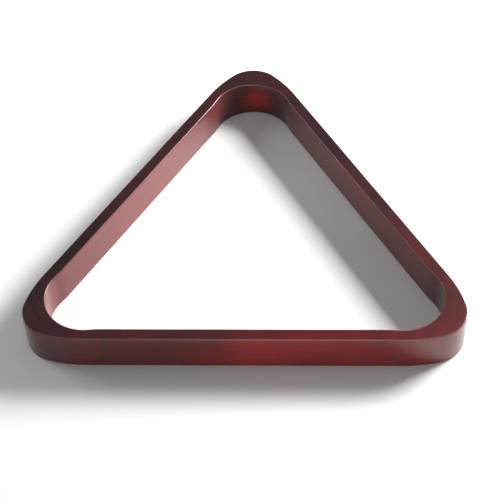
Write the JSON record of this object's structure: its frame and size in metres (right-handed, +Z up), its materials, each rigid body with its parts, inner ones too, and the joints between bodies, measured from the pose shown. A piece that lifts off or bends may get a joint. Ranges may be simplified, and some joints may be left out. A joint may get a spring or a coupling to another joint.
{
  "type": "billiard triangle rack",
  "caption": "Wooden triangle rack: slim straight rails butted against thicker rounded corner blocks, with hidden dowels, lying flat to gather pool balls.",
  "frame": {"origin": "middle of the rack's bounding box, on the surface that it lies on", "axes": "+X along the base rail, +Y towards the apex corner, +Z up out of the table"},
  "size_m": [0.3302, 0.296, 0.0318],
  "materials": {
    "rail_wood": "satin",
    "corner_wood": "satin",
    "dowel_wood": "matte"
  },
  "bodies": {
    "root": {"apex_corner": "corner_wood", "left_corner": "corner_wood", "right_corner": "corner_wood", "base_rail": "rail_wood", "left_rail": "rail_wood", "right_rail": "rail_wood", "apex_corner_to_left_rail_lower_dowel": "dowel_wood", "apex_corner_to_left_rail_upper_dowel": "dowel_wood", "apex_corner_to_right_rail_lower_dowel": "dowel_wood", "apex_corner_to_right_rail_upper_dowel": "dowel_wood", "left_corner_to_base_rail_lower_dowel": "dowel_wood", "left_corner_to_base_rail_upper_dowel": "dowel_wood", "left_corner_to_left_rail_lower_dowel": "dowel_wood", "left_corner_to_left_rail_upper_dowel": "dowel_wood", "right_corner_to_right_rail_lower_dowel": "dowel_wood", "right_corner_to_right_rail_upper_dowel": "dowel_wood", "right_corner_to_base_rail_lower_dowel": "dowel_wood", "right_corner_to_base_rail_upper_dowel": "dowel_wood"}
  },
  "joints": []
}
